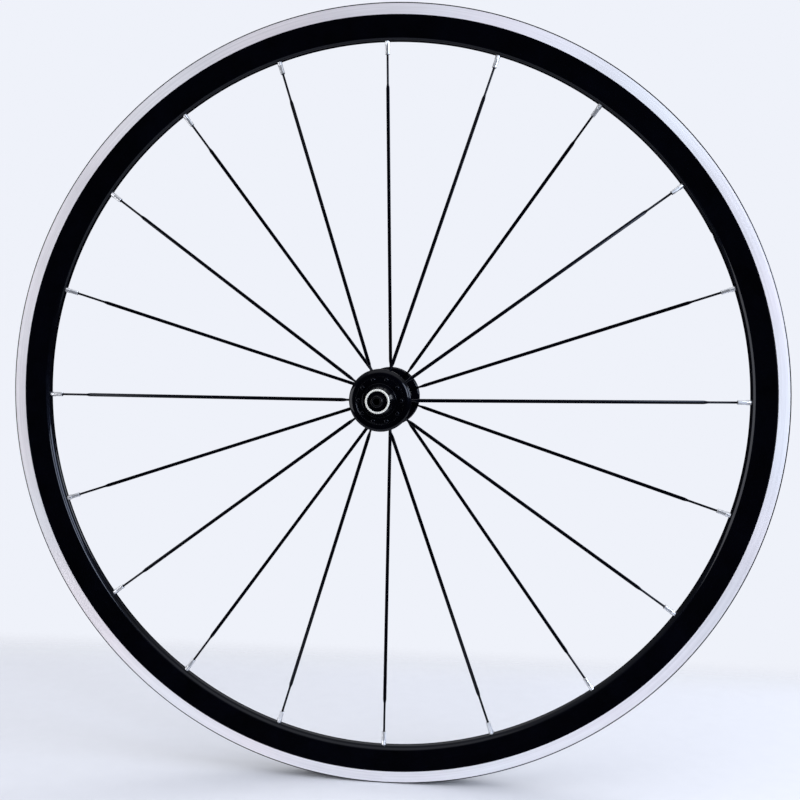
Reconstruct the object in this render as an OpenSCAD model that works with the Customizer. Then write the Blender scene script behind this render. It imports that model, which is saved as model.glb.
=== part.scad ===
// Front wheel of a road bicycle, 700C, for rim brakes, with a quick-release hollow axle.
// The origin is the wheel's centre. The axle lies along Y, with the wheel's left side at -Y.
// The first spoke stands straight up, along +Z, and goes to the right flange at +Y.

/* [Rim] */
// Diameter over the rim's outer edge
rim_d = 633; // [631:0.5:635]
// Width over the two brake tracks
rim_w = 20.8; // [20:0.1:22]
// Radial height of the brake track
track_h = 9; // [8:0.5:10]
// Depth of the rim from its outer edge to its nose
rim_depth = 28.5; // [27:0.5:31]
// Width of the rounded nose
nose_w = 10; // [9.5:0.5:12]
// Thickness of the rim's side walls
rim_wall = 1.4; // [1.2:0.1:1.6]
// Diameter of the valve hole
valve_d = 6.5; // [6.3:0.1:6.6]

/* [Spokes] */
// Number of spokes, half to each flange
spoke_n = 20; // [16:4:24]
// Diameter of the spoke wire
wire_d = 1.8; // [1.8:0.1:2]
// Width of the flat blade
blade_w = 2.85; // [2.4:0.05:3.2]
// Thickness of the flat blade
blade_t = 1.15; // [1:0.05:1.3]
// Diameter of the rolled thread inside the nipple
thread_d = 2; // [2:0.1:2.2]

/* [Hub] */
// Distance between the two faces that the fork grips
old_w = 100; // [99:0.5:102]
// Diameter of the hub's flanges
flange_d = 49.8; // [49:0.2:52]
// Diameter of the circle of spoke holes
hole_circle_d = 34; // [33.8:0.1:34.2]
// Diameter of the barrel between the flanges
barrel_d = 26; // [25:0.5:27]
// Diameter of the hole through the axle for the skewer
skewer_hole_d = 5.5; // [5.2:0.1:6]
// Diameter of the axle end that rests in the fork
axle_end_d = 8.9; // [8.7:0.1:8.9]

/* [Bearings] */
// Bore of the cartridge bearing
bearing_id = 12; // [11:0.5:12]
// Outer diameter of the cartridge bearing
bearing_od = 24; // [24:0.5:25]
// Width of the cartridge bearing
bearing_w = 6; // [5.6:0.1:6]
// Diameter of a ball
ball_d = 3; // [2.8:0.1:3]
// Number of balls in a bearing
ball_n = 11; // [9:1:11]

/* [Hidden] */
$fn = 96;

// Rim radii, from the outer edge inwards
rim_r = rim_d / 2;
rim_half = rim_w / 2;
lip_round = 0.6;
track_r = rim_r - 0.5 - track_h;      // inner edge of the brake track
track_step = 0.35;                    // the painted wall lies this far inside the track's face
nose_r = rim_r - rim_depth;           // innermost circle of the rim
nose_half = nose_w / 2;
nose_rise = 2.4;                      // depth of the oval that the nose follows on each side
nose_flat = 27;                       // angle of that oval that is left flat for the nipples
nose_side_r = nose_r + nose_rise * cos(nose_flat);   // where the nose meets the side walls
nose_wall = 2.4;
shelf_r = rim_r - 5.5;                // bead seat, 622 mm in diameter
shelf_half = rim_half - rim_wall;
well_r = shelf_r - 4.5;               // floor of the well between the bead seats
well_half = 4.6;
bed_wall = 1.5;
hook_in = 1.1;                        // how far the bead hook reaches in from its wall
hook_h = 2.2;
hook_round = 0.5;
tape_t = 0.7;
tape_hole_d = valve_d + 0.8;
access_d = 8;                         // holes in the bed that let a nipple in
valve_step = 3.5;                     // the valve sits midway between the fourth and fifth spokes

// Spoke line: from y = spoke_rise on the wheel's axis to the rim's centre plane at the nose
spoke_step = 360 / spoke_n;
spoke_rise = 34;
spoke_tilt = atan(spoke_rise / nose_r);
wire_r = wire_d / 2;
hole_r = hole_circle_d / 2;
hole_s = hole_r / cos(spoke_tilt);    // the same circle, measured along the spoke
nose_s = nose_r / cos(spoke_tilt);    // where the spoke line meets the nose
elbow_r = wire_r + 0.05;              // the ball where the wire turns into the flange
blade_start = 26.2;                   // along the spoke: the blade's taper in and its taper out
blade_full = 31.2;
blade_slim = nose_s - 36.8;
blade_end = nose_s - 32.3;
blade_neck = 0.65 * wire_d;
cone_tip_r = 0.4;                     // the round wire runs out inside the blade
head_r = 1.7;
head_h = 1.1;
spoke_y = spoke_rise * (1 - hole_r / nose_r);   // the spoke's centre line at the hole circle

// Nipples, measured along the spoke
nipple_neck_d = 4;
nipple_flat = 3.4;
nipple_out = 10;                      // length that shows below the nose
nipple_flat_h = 7.1;
nipple_head_d = 6;
nipple_bottom_s = nose_s - nipple_out;
nipple_seat_s = nose_s + 1.4;         // where the cone of the head begins
nipple_head_s = nose_s + 3;
nipple_top_s = nose_s + 5.4;
thread_start = nipple_bottom_s + 1;
thread_end = nose_s + 3.5;

// Bearing seats along Y
bearing_r = bearing_od / 2;
bearing_in_y = 33;
bearing_out_y = bearing_in_y + bearing_w;
bearing_mid_y = bearing_in_y + bearing_w / 2;
seat_shoulder_r = bearing_r - 1.4;
axle_seat_r = bearing_id / 2;
axle_shoulder_r = axle_seat_r + 1.3;
pitch_r = (bearing_id + bearing_od) / 4;
ball_r = ball_d / 2;
ball_gap = 0.03;                      // running clearance between a ball and its raceway
groove_r = 1.04 * ball_r;             // raceway grooves are a little more open than the ball
inner_race_r = pitch_r - 1.2;
outer_race_r = pitch_r + 1.2;
seal_t = 0.6;
seal_inset = 0.15;
seal_gap = 0.3;
pocket_r = ball_r + 0.1;
cage_gap = 0.35;
cage_front = 0.7;                     // the cage's open side, from the ball's centre
cage_back = 2;                        // and its closed side

// Flange, recess for the spoke heads, and boss
flange_r = flange_d / 2;
flange_in_y = 28.6;
flange_out_y = 35.8;
flange_round = 1.4;
crown_in_r = 19.6;                    // the convex outer face runs from here to the edge
crown_out_y = 33;
slot_w = wire_d + 0.5;
slot_floor = wire_r + 0.1;            // from the spoke's centre line to the slot's floor
web_y = spoke_y + slot_floor;
web_t = 2.2;
hole_d = wire_d + 0.3;
hole_relief = 1.15;                   // countersink round the hole, where the wire turns
recess_y = web_y + web_t;
recess_in_r = hole_r - 1.9;
recess_out_r = hole_r + 1.9;
recess_round = 0.4;
barrel_r = barrel_d / 2;
barrel_blend = 5;
boss_end_y = bearing_out_y + 0.4;
boss_end_r = 13.6;
boss_chamfer = 0.3;

// Axle and its ends
old_half = old_w / 2;
axle_half = old_half + 4.25;
axle_seat_y = bearing_out_y - 0.5;    // the seat stops short of the race's outer face
axle_thread_r = 5;
axle_end_y = old_half - 0.4;           // the turned-down end begins here
thread_relief_r = 4.2;                // neck between the thread and the end
axle_end_r = axle_end_d / 2;
skewer_r = skewer_hole_d / 2;
end_chamfer = 0.5;
cap_nose_r = 7.5;
cap_nose_h = 0.3;
cap_spigot_r = bearing_r - 0.4;
cap_lip_y = boss_end_y + 0.4;
cap_lip_h = 0.8;
cap_base_r = 12.6;
cap_tip_r = 9.5;
cap_face_y = old_half - 0.8;
ring_y = old_half - 2;
ring_in_r = 7.6;
notch_n = 40;
notch_w = 0.5;
notch_h = 0.3;

SPOKES = [for (k = [1:spoke_n]) str("spoke_", k < 10 ? "0" : "", k)];

/* ---------- shared shapes and places ---------- */

// Points of an elliptical arc about (cx, cy), from angle a0 to a1 in n steps
function oval(cx, cy, rx, ry, a0, a1, n) =
    [for (i = [0:n]) let (a = a0 + (a1 - a0) * i / n) [cx + rx * cos(a), cy + ry * sin(a)]];

// Points of a round arc
function arc(cx, cy, r, a0, a1, n) = oval(cx, cy, r, r, a0, a1, n);

// A half outline closed by its own mirror image across the wheel's centre plane
function both_halves(pts) =
    concat(pts, [for (i = [len(pts) - 1:-1:0]) if (pts[i][1] != 0) [pts[i][0], -pts[i][1]]]);

// Turns a profile of (radius, distance along the axle) about the Y axis
module turned() {
    rotate([-90, 0, 0]) rotate_extrude($fn = 180) children();
}

// A ring between two radii, from y0 to y1 along the axle
module ring(r_in, r_out, y0, y1) {
    turned() translate([r_in, y0]) square([r_out - r_in, y1 - y0]);
}

// The children are drawn for the right side; side -1 mirrors them to the left
module on_side(side) {
    if (side > 0) children();
    else mirror([0, 1, 0]) children();
}

// Turns a child that points along +Z to a place counted in spoke steps, clockwise from the top
module at_spoke(k) {
    rotate([0, k * spoke_step, 0]) children();
}

// Which side a spoke goes to: right for the first, then left and right in turn
function spoke_side(k) = k % 2 == 0 ? 1 : -1;

// Places a child drawn along +Z, from the wheel's axis outwards, on the slanting spoke line
module along_spoke(k) {
    at_spoke(k) on_side(spoke_side(k))
        translate([0, spoke_rise, 0]) rotate([spoke_tilt, 0, 0]) children();
}

// Places a child drawn along +Z on the axis of a spoke hole, pointing out of the flange
module at_hole(k, y) {
    at_spoke(k) on_side(spoke_side(k)) translate([0, y, hole_r]) rotate([-90, 0, 0]) children();
}

/* ---------- rim ---------- */

// Half outline of the rim's section, from the nose over the brake track to the well
function rim_outline() = concat(
    oval(nose_side_r, 0, nose_rise, nose_half, 180 - nose_flat, 90, 4),
    [[track_r - lip_round, rim_half - track_step], [track_r, rim_half]],
    arc(rim_r - lip_round, rim_half - lip_round, lip_round, 90, 0, 4),
    arc(rim_r - hook_round, shelf_half - hook_in + hook_round, hook_round, 0, -90, 3),
    [[rim_r - hook_h, shelf_half - hook_in],
     [rim_r - hook_h - 0.9, shelf_half],
     [shelf_r, shelf_half],
     [shelf_r, well_half + 1.6],
     [well_r, well_half]]);

// Half outline of the hollow inside the rim
function rim_hollow() = [
    [nose_r + nose_wall, nose_half - rim_wall],
    [track_r - 1.5, rim_half - rim_wall - 0.5],
    [shelf_r - 2.4, rim_half - rim_wall - 0.6],
    [shelf_r - 2.4, well_half + 1.2],
    [well_r - bed_wall, well_half - 0.4]];

module rim() {
    color("black") difference() {
        turned() difference() {
            polygon(both_halves(rim_outline()));
            polygon(both_halves(rim_hollow()));
        }
        for (k = [0:spoke_n - 1]) {
            along_spoke(k) nipple_hole();
            at_spoke(k) translate([0, 0, well_r - 4]) cylinder(d = access_d, h = 12);
        }
        at_spoke(valve_step) translate([0, 0, nose_r - 3]) cylinder(d = valve_d, h = 30);
    }
}

// Hole for one nipple, with a little room round its neck and a conical seat for its head
module nipple_hole() {
    way_r = nipple_neck_d / 2 + 0.15;
    rotate_extrude() polygon([
        [0, nose_s - 4], [way_r, nose_s - 4], [way_r, nipple_cone_s(way_r)],
        [nipple_head_d / 2, nipple_head_s], [0, nipple_head_s]]);
}

// Where along the spoke the cone under a nipple's head has the radius r
function nipple_cone_s(r) = nipple_seat_s
    + (nipple_head_s - nipple_seat_s) * (r - nipple_neck_d / 2) / ((nipple_head_d - nipple_neck_d) / 2);

module rim_tape() {
    color("dimgray") difference() {
        ring(well_r, well_r + tape_t, -well_half + 0.1, well_half - 0.1);
        at_spoke(valve_step) translate([0, 0, well_r - 2]) cylinder(d = tape_hole_d, h = 6);
    }
}

/* ---------- spokes and nipples ---------- */

// One spoke: head, elbow, round wire, blade, round wire and thread
module spoke(k) {
    color("black") {
        along_spoke(k) {
            rotate_extrude() polygon([
                [0, hole_s], [wire_r, hole_s], [wire_r, blade_start],
                [cone_tip_r, blade_full], [0, blade_full]]);
            translate([0, 0, hole_s]) sphere(r = elbow_r);
            blade();
            rotate_extrude() polygon([
                [0, blade_slim], [cone_tip_r, blade_slim], [wire_r, blade_end],
                [wire_r, thread_start], [thread_d / 2, thread_start],
                [thread_d / 2, thread_end], [0, thread_end]]);
        }
        at_hole(k, spoke_y) rotate_extrude() polygon(spoke_head());
    }
}

// Outline of the wire that runs through the flange from the elbow, and of its head
function spoke_head() = let (h = recess_y - spoke_y) [
    [0, 0], [wire_r, 0], [wire_r, h], [head_r, h], [head_r, h + 0.6 * head_h],
    [0.6 * head_r, h + head_h], [0, h + head_h]];

// The flat blade: tapered at both ends, with rounded edges between
module blade() {
    core_w = blade_w - blade_t;
    translate([0, blade_t / 2, 0]) rotate([90, 0, 0]) linear_extrude(blade_t) polygon([
        [-blade_neck / 2, blade_start], [blade_neck / 2, blade_start],
        [core_w / 2, blade_full], [core_w / 2, blade_slim],
        [blade_neck / 2, blade_end], [-blade_neck / 2, blade_end],
        [-core_w / 2, blade_slim], [-core_w / 2, blade_full]]);
    translate([0, 0, blade_full]) linear_extrude(blade_slim - blade_full) {
        square([core_w, blade_t], center = true);
        for (side = [-1, 1]) translate([side * core_w / 2, 0]) circle(d = blade_t, $fn = 32);
    }
}

// One nipple: head with its cone in the rim, round neck and square flats, bored for the thread
module nipple() {
    difference() {
        union() {
            translate([0, 0, nipple_head_s]) cylinder(d = nipple_head_d, h = nipple_top_s - nipple_head_s);
            translate([0, 0, nipple_seat_s])
                cylinder(d1 = nipple_neck_d, d2 = nipple_head_d, h = nipple_head_s - nipple_seat_s);
            translate([0, 0, nipple_bottom_s + nipple_flat_h])
                cylinder(d = nipple_neck_d, h = nipple_seat_s - nipple_bottom_s - nipple_flat_h);
            translate([0, 0, nipple_bottom_s]) intersection() {
                cylinder(d = nipple_neck_d, h = nipple_flat_h);
                translate([-nipple_flat / 2, -nipple_flat / 2, 0])
                    cube([nipple_flat, nipple_flat, nipple_flat_h]);
            }
        }
        translate([0, 0, nipple_bottom_s - 1]) cylinder(d = thread_d, h = nipple_top_s - nipple_bottom_s + 2);
    }
}

module nipples(first) {
    color("silver") for (k = [first:2:spoke_n - 1]) along_spoke(k) nipple();
}

/* ---------- hub ---------- */

// Half outline of the shell, from the shoulder in its bore over the flange to its barrel
function shell_outline() = concat(
    [[seat_shoulder_r, bearing_in_y], [bearing_r, bearing_in_y], [bearing_r, boss_end_y],
     [boss_end_r - boss_chamfer, boss_end_y], [boss_end_r, boss_end_y - boss_chamfer]],
    arc(recess_in_r, recess_y + recess_round, recess_round, 180, 270, 3),
    [[recess_out_r, recess_y], [crown_in_r, flange_out_y]],
    oval(crown_in_r, crown_out_y, flange_r - crown_in_r, flange_out_y - crown_out_y, 78, 0, 8),
    arc(flange_r - flange_round, flange_in_y + flange_round, flange_round, 0, -90, 4),
    arc(barrel_r + barrel_blend, flange_in_y - barrel_blend, barrel_blend, 90, 180, 6));

module hub_shell() {
    color("black") difference() {
        turned() polygon(both_halves(shell_outline()));
        for (k = [0:spoke_n - 1]) {
            along_spoke(k) spoke_slot();
            at_hole(k, flange_in_y - 3) cylinder(d = slot_w, h = web_y - flange_in_y + 3);
            at_hole(k, web_y) cylinder(r1 = hole_d / 2 + hole_relief, r2 = hole_d / 2, h = hole_relief);
            at_hole(k, web_y) cylinder(d = hole_d, h = web_t + 1);
        }
    }
}

// Slot in the flange's inner face, from the spoke hole out through the edge
module spoke_slot() {
    translate([-slot_w / 2, slot_floor - 8, hole_s]) cube([slot_w, 8, flange_r - hole_r + 2]);
}

// Half outline of the axle, from its chamfered end inwards to the shoulder
function axle_outline() = [
    [skewer_r, axle_half],
    [axle_end_r - end_chamfer, axle_half], [axle_end_r, axle_half - end_chamfer],
    [axle_end_r, axle_end_y], [thread_relief_r, axle_end_y],
    [thread_relief_r, cap_face_y], [axle_thread_r, cap_face_y],
    [axle_thread_r, axle_seat_y], [axle_seat_r, axle_seat_y],
    [axle_seat_r, bearing_in_y], [axle_shoulder_r, bearing_in_y]];

module axle() {
    color("black") turned() polygon(both_halves(axle_outline()));
}

// Cone that closes the hub's end, presses on the inner race and carries the contact ring
module axle_cap(side) {
    color("black") on_side(side) turned() polygon([
        [axle_thread_r, bearing_out_y], [cap_nose_r, bearing_out_y],
        [cap_nose_r, bearing_out_y + cap_nose_h], [cap_spigot_r, bearing_out_y + cap_nose_h],
        [cap_spigot_r, cap_lip_y], [cap_base_r, cap_lip_y], [cap_base_r, cap_lip_y + cap_lip_h],
        [cap_tip_r, ring_y], [ring_in_r, ring_y], [ring_in_r, cap_face_y],
        [axle_thread_r, cap_face_y]]);
}

// Steel ring with radial notches that bite into the fork end
module contact_ring(side) {
    color("silver") on_side(side) difference() {
        ring(ring_in_r, cap_tip_r, ring_y, old_half);
        for (i = [0:notch_n - 1])
            rotate([0, i * 360 / notch_n, 0]) translate([0, old_half, cap_tip_r - 1])
                cube([notch_w, 2 * notch_h, 4], center = true);
    }
}

/* ---------- bearings ---------- */

// Race between two radii, with a groove cut to the given centre radius
module race(side, r_in, r_out, groove_centre_r) {
    color("silver") on_side(side) turned() difference() {
        translate([r_in, bearing_in_y]) square([r_out - r_in, bearing_w]);
        translate([groove_centre_r, bearing_mid_y]) circle(r = groove_r);
    }
}

module outer_race(side) {
    race(side, outer_race_r, bearing_r, pitch_r + ball_r + ball_gap - groove_r);
}

module inner_race(side) {
    race(side, axle_seat_r, inner_race_r, pitch_r - ball_r - ball_gap + groove_r);
}

// Places a child at each ball of one bearing
module at_balls(side) {
    for (i = [0:ball_n - 1])
        rotate([0, i * 360 / ball_n, 0]) translate([0, side * bearing_mid_y, pitch_r]) children();
}

module balls(side) {
    color("lightgray") at_balls(side) sphere(r = ball_r);
}

// Crown cage: a ring with pockets that are open towards the hub's middle
module ball_cage(side) {
    color("saddlebrown") difference() {
        on_side(side) ring(inner_race_r + cage_gap, outer_race_r - cage_gap,
                           bearing_mid_y - cage_front, bearing_mid_y + cage_back);
        at_balls(side) sphere(r = pocket_r);
    }
}

// The two seals of one bearing, fixed in the outer race and clear of the inner one
module bearing_seals(side) {
    color("darkslategray") on_side(side)
        for (y = [bearing_in_y + seal_inset, bearing_out_y - seal_inset - seal_t])
            ring(inner_race_r + seal_gap, outer_race_r, y, y + seal_t);
}

rim();
rim_tape();
for (k = [0:spoke_n - 1]) spoke(k);
nipples(1);  // nipples_left
nipples(0);  // nipples_right
hub_shell();
axle();
axle_cap(-1);  // axle_cap_left
axle_cap(1);  // axle_cap_right
contact_ring(-1);  // contact_ring_left
contact_ring(1);  // contact_ring_right
outer_race(-1);  // outer_race_left
outer_race(1);  // outer_race_right
inner_race(-1);  // inner_race_left
inner_race(1);  // inner_race_right
balls(-1);  // balls_left
balls(1);  // balls_right
ball_cage(-1);  // ball_cage_left
ball_cage(1);  // ball_cage_right
bearing_seals(-1);  // bearing_seals_left
bearing_seals(1);  // bearing_seals_right
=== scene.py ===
"""Visual model of a road bicycle front wheel: rim, bladed spokes, nipples, hub and hollow axle.

Sizes are millimetres in the class fields and become metres when a mesh is written. The axle lies
along Y, the left side at -Y, and angles run clockwise from the top as seen from the left side.
"""

import logging
import math
from dataclasses import dataclass, field
from enum import Enum

import bpy
import numpy as np
from mathutils import Matrix, Vector

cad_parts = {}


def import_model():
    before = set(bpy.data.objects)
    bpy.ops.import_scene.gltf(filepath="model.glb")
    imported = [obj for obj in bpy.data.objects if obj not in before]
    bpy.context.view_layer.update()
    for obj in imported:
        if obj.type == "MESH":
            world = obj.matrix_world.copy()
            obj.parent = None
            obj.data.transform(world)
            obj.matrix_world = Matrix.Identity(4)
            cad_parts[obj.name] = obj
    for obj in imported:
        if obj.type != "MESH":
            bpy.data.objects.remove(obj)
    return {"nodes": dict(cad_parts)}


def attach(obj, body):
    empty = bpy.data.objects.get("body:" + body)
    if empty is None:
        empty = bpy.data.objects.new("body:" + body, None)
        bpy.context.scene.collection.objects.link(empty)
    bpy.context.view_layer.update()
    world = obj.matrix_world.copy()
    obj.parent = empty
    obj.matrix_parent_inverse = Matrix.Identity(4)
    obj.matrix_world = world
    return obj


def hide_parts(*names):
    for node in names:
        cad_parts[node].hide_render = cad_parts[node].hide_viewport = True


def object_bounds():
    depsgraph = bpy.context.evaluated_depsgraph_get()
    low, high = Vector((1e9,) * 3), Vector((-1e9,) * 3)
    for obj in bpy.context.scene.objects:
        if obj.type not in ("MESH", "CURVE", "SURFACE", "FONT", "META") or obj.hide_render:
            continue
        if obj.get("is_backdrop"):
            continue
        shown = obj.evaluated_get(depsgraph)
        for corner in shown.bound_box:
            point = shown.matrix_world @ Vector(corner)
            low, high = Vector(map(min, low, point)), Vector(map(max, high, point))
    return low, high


LOG = logging.getLogger("wheel")
MM = 0.001
SHARP_ANGLE = math.radians(32.0)

Array = np.ndarray


class Side(Enum):
    """Which side of the wheel a part is on; the value is the sign of Y."""

    LEFT = -1
    RIGHT = 1

    @property
    def word(self) -> str:
        """The side's name as node names end in it."""
        return self.name.lower()


# ------------------------------------------------------------------ shapes as whole arrays


def smoothstep(low: float, high: float, x: Array) -> Array:
    """0 below low, 1 above high, and 3t^2 - 2t^3 of the share t of the way between them."""
    t = np.clip((x - low) / (high - low), 0.0, 1.0)
    return t * t * (3.0 - 2.0 * t)


def softened(corners: Array, steps: int = 5) -> Array:
    """A closed outline whose corners are rounded.

    Each corner P is given with the length t it loses on both sides. It is replaced by the parabola
    (1-s)^2 A + 2s(1-s) P + s^2 B, with A and B at the distance t from P towards its neighbours.

    Args:
        corners: rows of (radius, y, t); a corner with t = 0 stays sharp.
        steps: points laid on each rounded corner, less one.

    Returns:
        Rows of (radius, y).
    """
    p, t = corners[:, :2], corners[:, 2]
    to_last, to_next = np.roll(p, 1, 0) - p, np.roll(p, -1, 0) - p
    room_last, room_next = np.linalg.norm(to_last, axis=1), np.linalg.norm(to_next, axis=1)
    a = p + to_last / room_last[:, None] * np.minimum(t, 0.49 * room_last)[:, None]
    b = p + to_next / room_next[:, None] * np.minimum(t, 0.49 * room_next)[:, None]
    s = np.linspace(0.0, 1.0, steps + 1)[None, :, None]
    curves = (1 - s) ** 2 * a[:, None] + 2 * s * (1 - s) * p[:, None] + s**2 * b[:, None]
    keep = np.ones(curves.shape[:2], bool)
    keep[t == 0, 1:] = False
    return curves[keep]


def oval(
    centre: tuple[float, float], reach: tuple[float, float], angles: tuple[float, float], steps: int
) -> Array:
    """Points of an ellipse: centre + (reach_r cos a, reach_y sin a), a running between two angles.

    Args:
        centre: radius and y of the centre.
        reach: half axes along the radius and along y.
        angles: first and last angle in degrees.
        steps: number of stretches.

    Returns:
        Rows of (radius, y, 0), ready to stand among corners.
    """
    a = np.radians(np.linspace(angles[0], angles[1], steps + 1))
    return np.column_stack([centre[0] + reach[0] * np.cos(a), centre[1] + reach[1] * np.sin(a), 0 * a])


def corner_rows(rows: list[tuple[float, float, float]]) -> Array:
    """Corners written out one by one, as an array."""
    return np.array(rows, float)


def mirrored_outline(half: Array) -> Array:
    """A half outline followed by its own mirror image in y, so that the two close one loop."""
    return np.vstack([half, half[::-1] * np.array([1.0, -1.0, 1.0])])


def quads(rows: int, cols: int, wrap_rows: bool, wrap_cols: bool, first: int = 0) -> Array:
    """Quads of a grid whose vertex (row, col) has the number first + row * cols + col.

    Args:
        rows: rows of the grid.
        cols: columns of the grid.
        wrap_rows: whether the last row joins the first.
        wrap_cols: whether the last column joins the first.
        first: number of the first vertex.

    Returns:
        Rows of four vertex numbers.
    """
    r = np.arange(rows if wrap_rows else rows - 1)[:, None]
    c = np.arange(cols if wrap_cols else cols - 1)[None, :]
    r2, c2 = (r + 1) % rows, (c + 1) % cols
    corners = [r * cols + c, r * cols + c2, r2 * cols + c2, r2 * cols + c]
    return first + np.stack([np.broadcast_to(x, (r.size, c.size)).ravel() for x in corners], axis=1)


@dataclass
class Surface:
    """Vertices in millimetres, and arrays of faces; each array holds faces of one number of corners."""

    verts: Array
    faces: list[Array] = field(default_factory=list)

    def flipped(self) -> "Surface":
        """The same surface with its faces turned round."""
        return Surface(self.verts, [f[:, ::-1] for f in self.faces])

    def moved(self, matrix: Array, offset: Array) -> "Surface":
        """Every vertex v becomes matrix v + offset; a mirroring matrix turns the faces round too."""
        out = Surface(self.verts @ matrix.T + offset, self.faces)
        return out.flipped() if np.linalg.det(matrix) < 0 else out


def joined(parts: list[Surface]) -> Surface:
    """Several surfaces as one, their faces renumbered.

    Args:
        parts: the surfaces, in order.

    Returns:
        One surface.
    """
    starts = np.cumsum([0] + [len(p.verts) for p in parts])
    faces = [f + s for p, s in zip(parts, starts) for f in p.faces]
    return Surface(np.vstack([p.verts for p in parts]), faces)


def turned(outline: Array, segments: int, hollow: bool = False) -> Surface:
    """A closed outline of (radius, y) turned about the Y axis.

    A point at the angle a from the top lies at (radius sin a, y, radius cos a). The outline is walked
    so that its faces point out of the metal, or into the space for a hollow.

    Args:
        outline: rows of (radius, y).
        segments: steps round the axis.
        hollow: whether the loop bounds a cavity.

    Returns:
        The closed surface.
    """
    r, y = outline[:, 0], outline[:, 1]
    area = np.sum(y * np.roll(r, -1) - np.roll(y, -1) * r)
    if (area < 0) != hollow:
        r, y = r[::-1], y[::-1]
    a = np.linspace(0.0, 2 * np.pi, segments, endpoint=False)[:, None]
    verts = np.stack([r * np.sin(a), y + 0 * a, r * np.cos(a)], axis=-1).reshape(-1, 3)
    return Surface(verts, [quads(segments, len(r), True, True)])


def pin(profile: Array, segments: int) -> Surface:
    """A solid of rings along +Z, with a pole at either end.

    The ring at height h has the radius r, at the angle a it lies at (r cos a, r sin a, h). The first
    and last rows are the poles, on the axis.

    Args:
        profile: rows of (radius, height), rising, the first and last with radius 0.
        segments: points on a ring.

    Returns:
        The closed surface, facing outwards.
    """
    a = np.linspace(0.0, 2 * np.pi, segments, endpoint=False)[None, :]
    r, h = profile[1:-1, 0][:, None], profile[1:-1, 1][:, None]
    rings = np.stack([r * np.cos(a), r * np.sin(a), h + 0 * a], axis=-1)
    return closed_tube(rings, np.array([0, 0, profile[0, 1]]), np.array([0, 0, profile[-1, 1]]))


def closed_tube(rings: Array, start: Array, end: Array) -> Surface:
    """Rings of points joined one to the next, with a fan to a pole at either end.

    Args:
        rings: (rings, points, 3), each ring running anticlockwise seen against the direction of travel.
        start: the pole before the first ring.
        end: the pole after the last ring.

    Returns:
        The closed surface, facing outwards.
    """
    n, m = rings.shape[:2]
    verts = np.vstack([rings.reshape(-1, 3), start, end])
    i = np.arange(m)
    j = (i + 1) % m
    last = (n - 1) * m
    fans = [
        np.stack([j, i, np.full(m, n * m)], axis=1),
        np.stack([last + i, last + j, np.full(m, n * m + 1)], axis=1),
    ]
    return Surface(verts, [quads(n, m, False, True), *fans])


def written(name: str, surface: Surface) -> bpy.types.Object:
    """Writes a surface as a mesh object at the origin, in metres, shaded smooth up to sharp edges.

    Args:
        name: the piece's name.
        surface: its shape, in millimetres.

    Returns:
        The object, linked to the scene.
    """
    loops = np.concatenate([f.ravel() for f in surface.faces])
    totals = np.concatenate([np.full(len(f), f.shape[1]) for f in surface.faces])
    mesh = bpy.data.meshes.new(name)
    mesh.vertices.add(len(surface.verts))
    mesh.vertices.foreach_set("co", (surface.verts * MM).astype(np.float32).ravel())
    mesh.loops.add(len(loops))
    mesh.loops.foreach_set("vertex_index", loops.astype(np.int32))
    mesh.polygons.add(len(totals))
    starts = np.concatenate([[0], np.cumsum(totals)[:-1]])
    mesh.polygons.foreach_set("loop_start", starts.astype(np.int32))
    mesh.update(calc_edges=True)
    mesh.validate()
    shade(mesh)
    obj = bpy.data.objects.new(name, mesh)
    bpy.context.scene.collection.objects.link(obj)
    return obj


def shade(mesh: bpy.types.Mesh) -> None:
    """Smooth shading, with the edges over the sharp angle left sharp.

    Args:
        mesh: the mesh to shade.
    """
    mesh.polygons.foreach_set("use_smooth", np.ones(len(mesh.polygons), bool))
    mesh.set_sharp_from_angle(angle=SHARP_ANGLE)
    mesh.update()


def cut(obj: bpy.types.Object, cutters: list[Surface]) -> None:
    """Takes the cutters out of the piece, one after another, and keeps the result as its mesh.

    Args:
        obj: the piece to cut.
        cutters: closed surfaces whose own parts don't overlap.
    """
    for i, cutter in enumerate(cutters):
        tool = written(f"cutter_{obj.name}_{i}", cutter)
        step = obj.modifiers.new("cut", "BOOLEAN")
        step.operation, step.solver, step.object = "DIFFERENCE", "EXACT", tool
        graph = bpy.context.evaluated_depsgraph_get()
        result = bpy.data.meshes.new_from_object(obj.evaluated_get(graph))
        obj.modifiers.remove(step)
        old, obj.data = obj.data, result
        bpy.data.meshes.remove(old)
        bpy.data.objects.remove(tool)
    shade(obj.data)


# ------------------------------------------------------------------ finishes


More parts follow.
